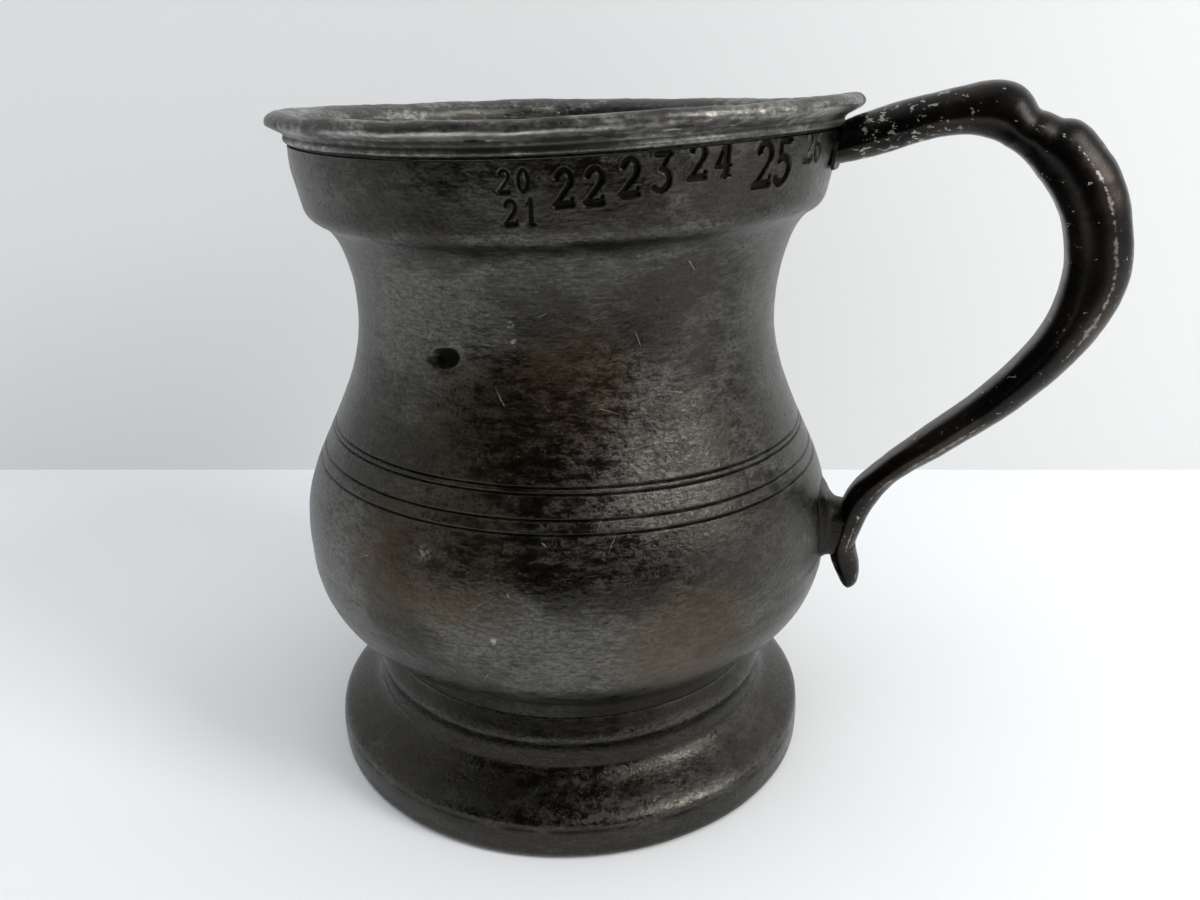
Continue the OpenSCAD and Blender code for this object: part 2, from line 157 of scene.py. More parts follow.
class Finish(Wave):
    """A new material whose patterns are measured in millimetres."""

    def __init__(self, name):
        self.material = bpy.data.materials.new(name)
        self.material.use_nodes = True
        tree = self.material.node_tree
        tree.nodes.clear()
        super().__init__(tree, None)
        self.place = self.out(self.node("ShaderNodeTexCoord"), 3)

    def speckle(self, scale, detail, roughness, distortion=0.0, shift=(0, 0, 0)):
        """Noise whose cells are 1 / scale millimetres wide along each axis."""
        mapped = self.node("ShaderNodeMapping", {"vector_type": "POINT"}, Vector=self.place,
                           Location=shift, Scale=[s / MM for s in scale])
        made = self.node("ShaderNodeTexNoise", Vector=self.out(mapped), Scale=1.0,
                         Detail=detail, Roughness=roughness, Distortion=distortion)
        return self.out(made)

    def scratch(self, azimuth, height, radius, lean, length, width):
        """1 on a short straight scratch: a ball of space squeezed to a needle on the wall."""
        angle = math.radians(azimuth)
        outward = Vector((math.cos(angle), math.sin(angle), 0))
        level = Vector((-outward.y, outward.x, 0))
        along = level * math.cos(lean) + Vector((0, 0, math.sin(lean)))
        frame_axes = Matrix((along, outward.cross(along), outward)).transposed()
        middle = outward * radius * MM + Vector((0, 0, height * MM))
        squeezed = self.out(self.node("ShaderNodeMapping", {"vector_type": "TEXTURE"},
                                      Vector=self.place, Location=middle,
                                      Rotation=frame_axes.to_euler(),
                                      Scale=(length * MM, width * MM, 2 * MM)))
        far = self.node("ShaderNodeVectorMath", {"operation": "LENGTH"}, i0=squeezed)
        return self.out(far, 1).band(1.0, 0.4)

    def patch(self, azimuth, height, radius, size):
        """1 near a place on the wall, fading to 0 at a distance in millimetres."""
        angle = math.radians(azimuth)
        middle = (radius * math.cos(angle) * MM, radius * math.sin(angle) * MM, height * MM)
        far = self.node("ShaderNodeVectorMath", {"operation": "DISTANCE"}, i0=self.place, i1=middle)
        return self.out(far, 1).band(size * MM, size * 0.25 * MM)

    def painted(self, name):
        """A value that the mesh carries for each of its points."""
        return self.out(self.node("ShaderNodeAttribute", {"attribute_name": name}), 2)

    def bumped(self, height, depth_mm, strength, before=None):
        made = self.node("ShaderNodeBump", Height=height, Strength=strength,
                         Distance=depth_mm * MM)
        if before is not None:
            self.tree.links.new(before.socket, made.inputs["Normal"])
        return self.out(made)

    def shade(self, **sockets):
        shader = self.node("ShaderNodeBsdfPrincipled", **sockets)
        output = self.node("ShaderNodeOutputMaterial")
        self.tree.links.new(shader.outputs[0], output.inputs["Surface"])
        return self.material


print("socket wrapper ready")

# %% [markdown]
# Old pewter isn't one colour. Its oxide is nearly black, browner where it has
# been handled, and it wears back to grey metal in fine level lines, because the
# castings were turned on a lathe. Each part of that is one noise: blotches tens
# of millimetres wide, streaks squeezed along the axis, grain and pits. Scratches
# are short needles at random places. Some brown, worn and nicked places are
# listed, each as azimuth in degrees, height, radius of the wall and size.

# %% Old pewter
OXIDE = rgb(0.036, 0.033, 0.028)
METAL = rgb(0.165, 0.160, 0.147)
BROWN = rgb(0.085, 0.060, 0.028)
BRIGHT = rgb(0.42, 0.41, 0.38)
# Near black, for pits and dull solder, and for dirt and painted shade in hollows.
DIRT_AND_SHADE = rgb(0.012, 0.011, 0.009)
BROWN_PLACES = [(-92, 62, 36, 17), (-106, 45, 41, 14), (-50, 34, 41, 16), (-70, 68, 32, 12),
                (-90, 45, 41, 12), (60, 60, 33, 18), (150, 40, 41, 20)]
WORN_PLACES = [(-91, 44, 41, 12), (-84, 31, 41, 20), (-62, 33, 41, 17), (-112, 74, 32, 18),
               (-95, 50, 38, 10), (-128, 40, 41, 18), (-60, 53, 39, 9), (100, 35, 41, 18),
               (-170, 66, 32, 15)]
NICKED_PLACES = [(-84.9, 75.3, 31.6, 0.7), (-84.3, 73.1, 31.3, 0.7), (-40, 84.2, 32.8, 0.7),
                 (-100.2, 47.1, 40.6, 1.8), (-86, 36.5, 40.8, 0.7)]
# The wall's radius at some heights, where the scratches lie.
SCRATCHED_WALL = ((24, 28, 34, 40, 46, 52, 58, 64, 70, 78, 84),
                  (36, 39.2, 41, 41.2, 40.6, 38.9, 36.2, 33.2, 31.5, 31.6, 33.0))
marks_dice = np.random.default_rng(5)
SCRATCHES = [(marks_dice.uniform(-130, -25), height, float(np.interp(height, *SCRATCHED_WALL)),
              marks_dice.uniform(-1.2, 1.2), marks_dice.uniform(0.6, 2.2),
              marks_dice.uniform(0.07, 0.13))
             for height in marks_dice.uniform(28, 84, 26)]


def old_pewter(name, tone=1.0, brown=0.5, scratched=False, rough=0.30, seed=0.0):
    f = Finish(name)
    there = (seed, seed * 1.7, seed * 2.3)
    blotches = f.speckle((0.055, 0.055, 0.08), detail=6, roughness=0.62, shift=there)
    mottle = f.speckle((0.34, 0.34, 0.85), detail=10, roughness=0.76, shift=there)
    turning = f.speckle((0.06, 0.06, 3.0), detail=3, roughness=0.7)
    dashes = f.speckle((0.45, 0.45, 2.8), detail=5, roughness=0.68, distortion=0.2)
    grain = f.speckle((1.7, 1.7, 1.9), detail=4, roughness=0.66)
    leather = f.speckle((1.5, 1.5, 1.8), detail=2, roughness=0.5)
    pits = f.speckle((1.3, 1.3, 1.5), detail=3, roughness=0.5).band(0.31, 0.25)
    pepper = f.speckle((1.3, 1.3, 2.4), detail=7, roughness=0.8).band(0.43, 0.55)
    lone = sum((f.scratch(*mark) for mark in SCRATCHES), 0.0) if scratched else 0.0
    rubbed = sum((f.patch(*place) for place in WORN_PLACES), 0.0)
    tanned = sum((f.patch(*place) for place in BROWN_PLACES), 0.0)
    nicked = sum((f.patch(*place) for place in NICKED_PLACES), 0.0)
    zone = (blotches + rubbed * 0.17).band(0.42, 0.72)
    worn = (mottle * 0.62 + dashes * 0.38 + zone * 0.10).band(0.455, 0.650)
    # The edges that the mesh marks are lightened, as wear and a painted highlight.
    edge = f.painted("edge")
    peppered = 1 - (1 - pepper) * (0.35 + 0.45 * mottle.band(0.40, 0.62))
    body = ((worn * (0.26 + 0.6 * zone) * tone + 0.05) * peppered + (grain - 0.5) * 0.14
            + edge * pepper * 0.5).blend(OXIDE, METAL)
    tint = (blotches * 0.4 + tanned * 0.38 + mottle * 0.3).band(0.42, 0.80) * brown
    tinted = tint.blend(body, BROWN)
    marks = lone * grain.band(0.38, 0.52) * 0.55 + nicked * grain.band(0.46, 0.56) * 0.9
    scored = marks.blend(tinted, BRIGHT)
    # Dirt and painted shade in the places that the mesh marks darken the colour.
    hollow = f.painted("hollow")
    colour = (pits * 0.6 + hollow * 0.9).blend(scored, DIRT_AND_SHADE)
    roughness = rough + (blotches - 0.5) * 0.20 + (grain - 0.5) * 0.18 + pits * 0.2 \
        + hollow * 0.25 + 0.05 * worn
    fine = f.bumped(turning * 0.25 + dashes * 0.35 * zone + grain * 0.5 + leather * 1.3,
                    0.14, 0.45)
    deep = f.bumped(1 - pits - lone + 0.25 * pepper * mottle.band(0.40, 0.62), 0.12, 0.6,
                    before=fine)
    return f.shade(Base_Color=colour, Metallic=1.0, Roughness=roughness, Normal=deep)


dark_pewter = old_pewter("dark_pewter", scratched=True)
foot_pewter = old_pewter("foot_pewter", tone=0.42, brown=0.4, rough=0.25, seed=4.0)
inner_pewter = old_pewter("inner_pewter", tone=1.6, brown=0.3, rough=0.32, seed=7.0)
print("pewters:", [m.name for m in (dark_pewter, foot_pewter, inner_pewter)])

# %% [markdown]
# The lip has been knocked and wiped for a century, so it is grey metal with
# bright streaks, nicks and darker hollows. The handle is the opposite: it kept
# its black skin, which has chipped off near the root and worn along the two
# long edges of its back. The mesh says where those edges are, and where the
# hollows are darkened, by dirt and by painted shade.

# %% Worn lip, black handle and dull solder


def worn_lip(name):
    f = Finish(name)
    patches = f.speckle((0.10, 0.10, 0.35), detail=6, roughness=0.62)
    grain = f.speckle((0.9, 0.9, 1.3), detail=6, roughness=0.7)
    nicks = f.speckle((0.8, 0.8, 1.6), detail=3, roughness=0.5).band(0.36, 0.29)
    lines = f.speckle((0.15, 0.15, 4.5), detail=3, roughness=0.6)
    edge = f.painted("edge")
    # Dirt and painted shade in the crease and the deep nicks darken the metal towards oxide.
    hollow = f.painted("hollow")
    bright = (patches * 0.5 + grain * 0.38 + lines * 0.12 + edge * 0.15).band(0.47, 0.70)
    metal = bright.blend(rgb(0.085, 0.082, 0.075), rgb(0.52, 0.51, 0.48))
    colour = (nicks * 0.5 + hollow * 0.8).blend(metal, OXIDE)
    roughness = 0.30 + (1 - bright) * 0.14 + (grain - 0.5) * 0.25 + hollow * 0.2
    normal = f.bumped(grain * 0.6 + lines * 0.3 - nicks * 0.6, 0.2, 0.5)
    return f.shade(Base_Color=colour, Metallic=0.95, Roughness=roughness, Normal=normal)


def black_skin(name):
    f = Finish(name)
    along = f.out(f.node("ShaderNodeSeparateXYZ", i0=f.place), 0)
    height = f.out(f.node("ShaderNodeSeparateXYZ", i0=f.place), 2)
    patches = f.speckle((0.10, 0.10, 0.10), detail=6, roughness=0.6)
    grain = f.speckle((1.3, 1.3, 1.3), detail=6, roughness=0.7)
    flaking = f.speckle((0.85, 0.85, 1.1), detail=5, roughness=0.66, distortion=0.3)
    rooted = along.band(58 * MM, 47 * MM) * along.band(38.5 * MM, 43 * MM) \
        * height.band(88 * MM, 94 * MM)
    chips = (flaking + rooted * 0.090).band(0.652, 0.668)
    edge = f.painted("edge")
    rubbed = (edge * 0.55 + (grain - 0.5) * 1.3 + (patches - 0.5) * 1.6).band(0.50, 0.68)
    brown = patches.band(0.45, 0.7).blend(rgb(0.016, 0.015, 0.014), rgb(0.040, 0.031, 0.025))
    worn = (rubbed * 0.75).blend(brown, rgb(0.24, 0.225, 0.20))
    colour = (chips * 0.95).blend(worn, rgb(0.46, 0.45, 0.40))
    roughness = 0.30 + (patches - 0.5) * 0.2 + (grain - 0.5) * 0.2 + chips * 0.25
    normal = f.bumped(grain * 0.8 - chips * 0.8, 0.10, 0.45)
    return f.shade(Base_Color=colour, Metallic=0.96, Roughness=roughness, Normal=normal)


def dull_solder(name):
    f = Finish(name)
    grain = f.speckle((1.5, 1.5, 1.5), detail=5, roughness=0.7)
    colour = grain.band(0.4, 0.65).blend(DIRT_AND_SHADE, rgb(0.06, 0.058, 0.05))
    normal = f.bumped(grain, 0.1, 0.4)
    return f.shade(Base_Color=colour, Metallic=0.8, Roughness=0.45, Normal=normal)


lip_metal = worn_lip("worn_pewter")
handle_skin = black_skin("black_pewter")
solder = dull_solder("solder")
print("finishes:", [m.name for m in (lip_metal, handle_skin, solder)])

# %% [markdown]
# Every casting but the handle is turned, so its form is one outline. The outline
# is measured from the solids' boxes and written with the same curves as theirs:
# a power curve under the belly, a leaned cosine up to the neck, a quarter ellipse
# out to the collar. It is then walked in steps that get short near the incised
# lines, so that a groove a third of a millimetre wide has points of its own.

# %% The outline of the body, in millimetres
belly_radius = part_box("lower_body")[1].y / MM
foot_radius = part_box("foot_ring")[1].y / MM
collar_top_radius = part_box("upper_body")[1].y / MM
lip_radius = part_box("lip_ring")[1].y / MM
seam_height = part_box("belly_solder")[0].z / MM + 0.1
joint_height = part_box("lip_solder")[0].z / MM
floor_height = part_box("base_disc")[1].z / MM
body_foot_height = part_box("lower_body")[0].z / MM
crest_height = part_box("lip_ring")[1].z / MM
FILM = 0.2
WALL = 2.4
WAIST = (30.8, 20.6)
BELLY_HEIGHT = 39.7
BELLY_POWER = 3.3
NECK = (31.2, 72.0)
NECK_LEAN = 0.03
FLARE = (36.8, 86.0)
COLLAR_EDGE = (37.3, 87.1)
COLLAR_BEND = (38.5, 93.2)
UPPER_LINES = (55.7, 54.95)
LOWER_LINES = (52.1, 50.45)
OPEN_JOINT = 0.12
STRIDE = 0.5
FINE_STRIDE = 0.07
FINE_REACH = 0.45
PROBES = 4000
bore_radius = collar_top_radius - WALL


def strided(points, stride=STRIDE, fine_at=()):
    """The same polyline with points at even steps, short ones near some heights."""
    points = np.array(points, float)
    lengths = np.hypot(*np.diff(points, axis=0).T)
    along = np.concatenate([[0], np.cumsum(lengths)])
    probe = np.linspace(0, along[-1], PROBES)
    height = np.interp(probe, along, points[:, 1])
    near = np.zeros(len(probe))
    for at in fine_at:
        near = np.maximum(near, np.clip(1.6 - np.abs(height - at) / FINE_REACH, 0, 1))
    pace = 1 / (stride + (FINE_STRIDE - stride) * near)
    count = np.concatenate([[0], np.cumsum((pace[1:] + pace[:-1]) / 2 * np.diff(probe))])
    places = np.interp(np.linspace(0, count[-1], max(2, round(count[-1]) + 1)), count, probe)
    return np.column_stack([np.interp(places, along, points[:, k]) for k in (0, 1)])


def softened(points, rounds):
    """Averages each inner point with its neighbours, as polishing softens an edge."""
    points = points.copy()
    for _ in range(rounds):
        points[1:-1] = (points[:-2] + 2 * points[1:-1] + points[2:]) / 4
    return points


def body_outline():
    """Points from the waist to the joint under the lip, as (radius, height)."""
    points = [(WAIST[0] + 0.2, body_foot_height), (WAIST[0], WAIST[1] - 1.0)]
    for share in np.cos(np.linspace(0.06, math.pi / 2, 60)):
        rise = share * (BELLY_HEIGHT - WAIST[1])
        points.append((WAIST[0] + (belly_radius - WAIST[0]) * (1 - share ** BELLY_POWER),
                       BELLY_HEIGHT - rise))
    for share in np.linspace(0.02, 1, 60):
        leaned = share + NECK_LEAN * math.sin(math.pi * share) ** 2
        points.append((NECK[0] + (belly_radius - NECK[0]) * (1 + math.cos(math.pi * leaned)) / 2,
                       BELLY_HEIGHT + share * (NECK[1] - BELLY_HEIGHT)))
    for angle in np.linspace(0.05, math.pi / 2 - 0.06, 30):
        points.append((NECK[0] + (FLARE[0] - NECK[0]) * (1 - math.cos(angle)),
                       NECK[1] + math.sin(angle) * (FLARE[1] - NECK[1])))
    points += [COLLAR_EDGE, (COLLAR_EDGE[0] + 0.2, COLLAR_EDGE[1] + 0.9), COLLAR_BEND,
               (collar_top_radius, joint_height - OPEN_JOINT)]
    smooth_way = softened(strided(points, 0.4), 3)
    return strided(smooth_way, STRIDE, UPPER_LINES + LOWER_LINES)


def normals(points):
    """Outward directions along an outline that runs upwards on its outer side."""
    slope = np.gradient(points, axis=0)
    slope /= np.linalg.norm(slope, axis=1)[:, None]
    return np.column_stack([slope[:, 1], -slope[:, 0]])


outer = body_outline()


def wall_at(height):
    """The body's outer radius at a height, or at many."""
    return np.interp(height, outer[:, 1], outer[:, 0])


print("body outline:", len(outer), "points, widest", round(float(outer[:, 0].max()), 2), "mm")

# %% [markdown]
# A turned piece is the outline spun round the axis. The spin starts from a wire
# of vertices, and use_merge closes the last step on the first. Its points are
# then moved together, as a hand moves clay, so the moves are written for a whole
# array of points at once. The smooth random lumps that they use are a small
# lattice of random values, blended between its corners.

# %% Spin an outline and finish a piece
STEPS = 360
LATTICE = 32


def spun(points, steps=STEPS):
    """A closed outline in millimetres, spun round the axis into a bmesh in metres."""
    bm = bmesh.new()
    wire = [bm.verts.new((r * MM, 0, z * MM)) for r, z in points]
    edges = [bm.edges.new((a, b)) for a, b in zip(wire, wire[1:] + wire[:1])]
    bmesh.ops.spin(bm, geom=wire + edges, cent=(0, 0, 0), axis=(0, 0, 1),
                   angle=2 * math.pi, steps=steps, use_merge=True)
    bmesh.ops.remove_doubles(bm, verts=bm.verts, dist=1e-6)
    bmesh.ops.recalc_face_normals(bm, faces=bm.faces)
    return bm


def lumps(points, cell, seed):
    """Smooth random values from -1 to 1 for many points, in cells of some millimetres."""
    table = np.random.default_rng(seed).uniform(-1, 1, (LATTICE, LATTICE, LATTICE))
    places = points / cell
    low = np.floor(places).astype(int)
    share = places - low
    share = share * share * (3 - 2 * share)
    total = np.zeros(len(points))
    for corner in np.ndindex(2, 2, 2):
        at = (low + corner) % LATTICE
        weight = np.prod(np.where(corner, share, 1 - share), axis=1)
        total += weight * table[at[:, 0], at[:, 1], at[:, 2]]
    return total


def step_up(x, low, high):
    share = np.clip((x - low) / (high - low), 0, 1)
    return share * share * (3 - 2 * share)


def polar(points):
    """Radius, azimuth in degrees and unit outward directions of many points."""
    radius = np.hypot(points[:, 0], points[:, 1])
    azimuth = np.degrees(np.arctan2(points[:, 1], points[:, 0]))
    outward = np.column_stack([points[:, 0] / radius, points[:, 1] / radius, 0 * radius])
    return radius, azimuth, outward


def wobble(points, cell, seed):
    """The same lumps in three directions."""
    return np.column_stack([lumps(points + shift, cell, seed) for shift in (0, 40, 80)])


def along_wall(azimuth, at, radius):
    """Millimetres round the wall from one azimuth to many, the short way."""
    return np.radians((azimuth - at + 180) % 360 - 180) * radius


def finished(bm, name, nodes, material, shape, sharp=38):
    """Moves a bmesh's points by a shape function and makes it a piece of the measure."""
    mesh = bpy.data.meshes.new(name)
    bm.to_mesh(mesh)
    bm.free()
    flat = np.empty(3 * len(mesh.vertices))
    mesh.vertices.foreach_get("co", flat)
    points, values = shape(flat.reshape(-1, 3) / MM)
    mesh.vertices.foreach_set("co", (points * MM).ravel())
    for label, per_point in values.items():
        mesh.attributes.new(label, "FLOAT", "POINT").data.foreach_set("value", per_point)
    mesh.update()
    mesh.shade_smooth()
    mesh.set_sharp_from_angle(angle=math.radians(sharp))
    mesh.materials.append(material)
    piece = bpy.data.objects.new(name, mesh)
    scene.collection.objects.link(piece)
    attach(piece, "root")
    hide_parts(*nodes)
    print(name, len(mesh.polygons), "faces")


print("spin ready,", STEPS, "steps")

# %% [markdown]
# The rim isn't level any more. Knocks have pushed it down on the eye's side and
# up over the handle, so its height round the mouth is a short series of waves.
# The collar follows it, and the neck below hardly does. The wall also carries a
# few soft dents, one deep pit, and the fine ripple that the lathe tool left. A
# dent is azimuth, height, size and depth, and a tool mark height, size and depth.

# %% How the body is bent
LIFT_MIDDLE = -0.07
LIFT_WAVES = [(0.92, 0.29), (0.33, -0.18), (0.11, -0.22)]
PIT = (-102.6, 70.1, 1.7, 1.1)
PIT_WIDENING = 1.35
DENTS = [(-100.0, 70.9, 1.1, 0.35), (-101, 71.6, 3.4, 0.22),
         (-64, 62, 9, 0.22), (-100, 47, 5, 0.12), (-85, 60, 12, 0.2), (-60, 40, 10, 0.18),
         (-40, 66, 8, 0.2), (-112, 58, 10, 0.15), (-76, 30.8, 2.0, 0.12), (-93, 33, 7, 0.14),
         (-58, 75, 7, 0.16), (40, 60, 12, 0.25), (120, 45, 10, 0.2), (170, 66, 9, 0.2)]
TOOL_MARKS = [(36.6, 0.5, 0.10), (33.4, 0.45, -0.05), (29.6, 0.5, 0.05), (47.0, 0.6, 0.04),
              (62.5, 0.7, 0.04), (82.0, 0.6, 0.03)]


def lift(azimuth):
    """How far the rim has moved up at an azimuth, in millimetres."""
    turn = np.radians(azimuth)
    rise = LIFT_MIDDLE
    for count, (cosine, sine) in enumerate(LIFT_WAVES, start=1):
        rise = rise + cosine * np.cos(count * turn) + sine * np.sin(count * turn)
    return rise


def pit_shape(azimuth, radius, z):
    """1 in the one deep pit of the neck, fading to 0 at its edge."""
    at, height, size, _ = PIT
    across = along_wall(azimuth, at, radius) / PIT_WIDENING
    edge = 1 + 0.12 * np.sin(2 * np.arctan2(z - height, across) + 1)
    return step_up(-np.hypot(across, z - height) / (size * edge), -1.0, -0.45)


def knocked(points):
    """Where the body's points end up after a century of use."""
    radius, azimuth, outward = polar(points)
    z = points[:, 2]
    bands = np.column_stack([azimuth / 40, 0 * z, z])
    move = 0.022 * lumps(bands, 1.1, 1) + 0.03 * lumps(bands, 3.7, 2)
    move += 0.13 * lumps(points, 14, 3) + 0.035 * lumps(points, 4, 4)
    for at, height, size, depth in DENTS:
        along = along_wall(azimuth, at, radius)
        far = (along ** 2 + (z - height) ** 2) / size ** 2
        move -= depth * np.exp(-far)
    move -= PIT[3] * pit_shape(azimuth, radius, z)
    for height, size, depth in TOOL_MARKS:
        move -= depth * np.exp(-((z - height) / size) ** 2) * (0.6 + 0.5 * lumps(bands, 2.5, 5))
    up = lift(azimuth) * step_up(z, 74, 91)
    return points + outward * move[:, None] + np.column_stack([0 * up, 0 * up, up])


print("rim from", round(float(lift(np.arange(360)).min()), 2), "to",
      round(float(lift(np.arange(360)).max()), 2), "mm")

# %% [markdown]
# Old public measures were struck again at each inspection, so the collar carries
# a row of plain numbers. They are recesses, struck from the mesh and not painted.
# A digit is a few strokes that are thick on the way down and thin across, and a
# point sinks by its distance to the nearest stroke. The numbers here are only a
# count from twenty to twenty-six.

# %% Digits as strokes


def arc(middle, wide, tall, start, end, steps=10):
    turns = np.radians(np.linspace(start, end, steps))
    return np.column_stack([middle[0] + wide * np.cos(turns), middle[1] + tall * np.sin(turns)])


THICK = 0.098
THIN = 0.045
DIGITS = {
    "0": [(arc((0.28, 0.5), 0.21, 0.46, 90, 270), THICK),
          (arc((0.28, 0.5), 0.21, 0.46, -90, 90), THICK)],
    "1": [([(0.28, 0.03), (0.28, 0.97)], THICK), ([(0.12, 0.02), (0.44, 0.02)], THIN),
          ([(0.28, 0.95), (0.13, 0.80)], THIN)],
    "2": [(arc((0.28, 0.72), 0.20, 0.24, 165, -35), THICK * 0.8),
          ([(0.45, 0.58), (0.06, 0.06)], THIN * 1.4), ([(0.06, 0.05), (0.50, 0.05)], THICK),
          ([(0.50, 0.05), (0.52, 0.22)], THIN)],
    "3": [([(0.09, 0.96), (0.47, 0.96)], THICK * 0.8), ([(0.46, 0.94), (0.24, 0.60)], THIN * 1.3),
          (arc((0.24, 0.30), 0.24, 0.29, 88, -140, 14), THICK * 0.85)],
    "4": [([(0.38, 0.98), (0.04, 0.30)], THIN * 1.3), ([(0.03, 0.29), (0.52, 0.29)], THIN * 1.3),
          ([(0.38, 0.03), (0.38, 0.97)], THICK), ([(0.24, 0.02), (0.51, 0.02)], THIN)],
    "5": [([(0.13, 0.95), (0.46, 0.95)], THICK * 0.8), ([(0.13, 0.95), (0.10, 0.55)], THIN * 1.3),
          (arc((0.24, 0.31), 0.24, 0.29, 125, -145, 14), THICK * 0.85)],
    "6": [(arc((0.27, 0.29), 0.21, 0.27, 0, 360, 18), THICK * 0.8),
          (arc((0.52, 0.38), 0.46, 0.58, 100, 176, 10), THICK * 0.8)],
}
# Each number: its digits, the azimuth of its left edge in degrees, its foot's height,
# its size, how far apart its digits stand and how deep it is struck, in millimetres.
STAMPS = [("20", -83.2, 92.5, 2.5, 2.1, 0.24), ("21", -82.6, 88.9, 2.9, 2.3, 0.24),
          ("2", -74.1, 90.8, 4.0, 0, 0.34), ("2", -69.1, 90.8, 4.0, 0, 0.34),
          ("2", -63.3, 91.4, 4.1, 0, 0.34), ("3", -57.7, 91.6, 4.1, 0, 0.34),
          ("2", -51.4, 92.4, 4.1, 0, 0.34), ("4", -46.3, 92.4, 4.1, 0, 0.34),
          ("25", -37.4, 90.6, 5.2, 3.6, 0.48), ("26", -23.6, 92.6, 3.7, 2.6, 0.24)]
STRUCK_PATCH = ((-86.5, -9.5), (88.0, joint_height))
PIT_PATCH = ((-108, -97), (67.2, 73.0))
BURR = 0.10
SKIN = 1.4
THIN_SKIN = 1.2


def stroke_distance(across, up, way, half):
    """Distance outside a stroke, from many points; negative inside it."""
    nearest = np.full(len(across), 9.0)
    way = np.array(way, float)
    for (x0, y0), (x1, y1) in zip(way, way[1:]):
        dx, dy = x1 - x0, y1 - y0
        share = np.clip(((across - x0) * dx + (up - y0) * dy) / (dx * dx + dy * dy), 0, 1)
        nearest = np.minimum(nearest, np.hypot(across - x0 - share * dx, up - y0 - share * dy))
    return nearest - half


def struck(points):
    """How deep the numbers sink each point of the collar, in millimetres."""
    radius, azimuth, _ = polar(points)
    z = points[:, 2]
    depth = np.zeros(len(points))
    outside = radius > collar_top_radius - SKIN
    for text, at, foot, size, pitch, strike in STAMPS:
        start = np.radians(azimuth - at) * collar_top_radius
        near = outside & (start > -1) & (start < size + pitch * len(text)) \
            & (z > foot - 1) & (z < foot + size + 1)
        for place, digit in enumerate(text):
            across = (start[near] - place * pitch) / size
            up = (z[near] - foot) / size
            away = np.min([stroke_distance(across, up, way, half) for way, half in DIGITS[digit]],
                          axis=0) * size
            cut = strike * step_up(-away, -0.07, 0.16) \
                - BURR * strike * np.exp(-((away - 0.22) / 0.14) ** 2)
            depth[near] = np.where(np.abs(cut) > np.abs(depth[near]), cut, depth[near])
    return depth


def patch_refined(bm, patch, cuts):
    """Divides the outer faces of a patch of wall more finely, both ways at once."""
    (left, right), (low, high) = patch
    wall = wall_at((low + high) / 2) - SKIN

    def inside(vert):
        x, y, z = vert.co / MM
        turn = math.degrees(math.atan2(y, x))
        return left < turn < right and low < z < high and math.hypot(x, y) > wall

    chosen = {v for v in bm.verts if inside(v)}
    edges = [e for e in bm.edges if e.verts[0] in chosen and e.verts[1] in chosen]
    bmesh.ops.subdivide_edges(bm, edges=edges, cuts=cuts, use_grid_fill=True)


print("numbers:", " ".join(stamp[0] for stamp in STAMPS))

# %% [markdown]
# The body was cast in two halves that lap inside the plain band between the two
# pairs of incised lines. Both halves take their outer side from the same outline,
# so the seam doesn't show, as on the real one. The inner side is the outline
# moved in by the wall. The incised lines are narrow notches in the outline.

# %% The two halves of the body
LINE_DEPTH = 0.27
LINE_HALF = 0.13
LEDGE_RADIUS = 28.35
REBATE_RADIUS = 29.55


def incised(heights):
    return sum(np.exp(-((heights - at) / LINE_HALF) ** 2) for at in UPPER_LINES + LOWER_LINES)


lined = outer - normals(outer) * (LINE_DEPTH * incised(outer[:, 1]))[:, None]
moved_in = outer - normals(outer) * WALL
clear = (moved_in[:, 1] > floor_height + 0.3) & (moved_in[:, 1] < joint_height)
inner = strided(moved_in[clear], 1.5)
above = lined[:, 1] >= seam_height
inner_above = inner[:, 1] >= seam_height
seam_ends = [(float(np.interp(seam_height, way[:, 1], way[:, 0])), seam_height)
             for way in (lined, inner)]
upper_profile = np.vstack([seam_ends[:1], lined[above], [(bore_radius, joint_height - OPEN_JOINT)],
                           inner[inner_above][::-1], seam_ends[1:]])
lower_profile = np.vstack([lined[~above], seam_ends, inner[~inner_above][::-1],
                           [(LEDGE_RADIUS, floor_height + FILM),
                            (REBATE_RADIUS, floor_height + FILM),
                            (REBATE_RADIUS, body_foot_height)]])


def body_shape(points):
    """Bends and strikes the body; its recesses get dirt and painted shade, its waist painted shade,
    and its collar edge wear and a painted highlight.
    """
    radius, azimuth, outward = polar(points)
    depth = struck(points)
    z = points[:, 2]
    outside = radius > wall_at(z) - THIN_SKIN
    # Dirt and painted shade in the struck numbers, the incised lines and the pit.
    hollow = np.clip(depth / 0.16, 0, 1) + outside * np.clip(incised(z) - 0.25, 0, 1)
    hollow += outside * pit_shape(azimuth, radius, z)
    # Painted shade under the belly, at the waist.
    hollow += 0.6 * step_up(-z, -WAIST[1] - 1.6, -WAIST[1] - 0.2)
    # Wear and a painted highlight along the collar's lower edge.
    broken = 0.5 + 0.8 * lumps(points, 3.0, 33)
    edge = outside * np.exp(-((z - COLLAR_EDGE[1]) / 0.45) ** 2) * broken
    moved = knocked(points) - outward * depth[:, None]
    return moved, {"hollow": np.clip(hollow, 0, 1), "edge": np.clip(edge, 0, 1)}


upper_bm = spun(upper_profile)
patch_refined(upper_bm, STRUCK_PATCH, 4)
patch_refined(upper_bm, PIT_PATCH, 2)
finished(upper_bm, "neck_and_collar", ["upper_body"], dark_pewter, body_shape)
finished(spun(lower_profile), "belly", ["lower_body"], dark_pewter, body_shape)

# %% [markdown]
# The foot spreads from the waist in four mouldings: a short hollow neck with a
# ridge, a second hollow, a fine step, and a sweep that rolls out over the upright
# band. It is hollow underneath, so that only its rim touches the table.

# %% The foot
STEP = (32.3, 10.9)
BAND_HEIGHT = 4.9
RIDGE_HEIGHT = 14.9
spigot_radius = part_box("base_disc")[1].y / MM
foot_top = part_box("foot_solder")[0].z / MM
spigot_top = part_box("foot_ring")[1].z / MM


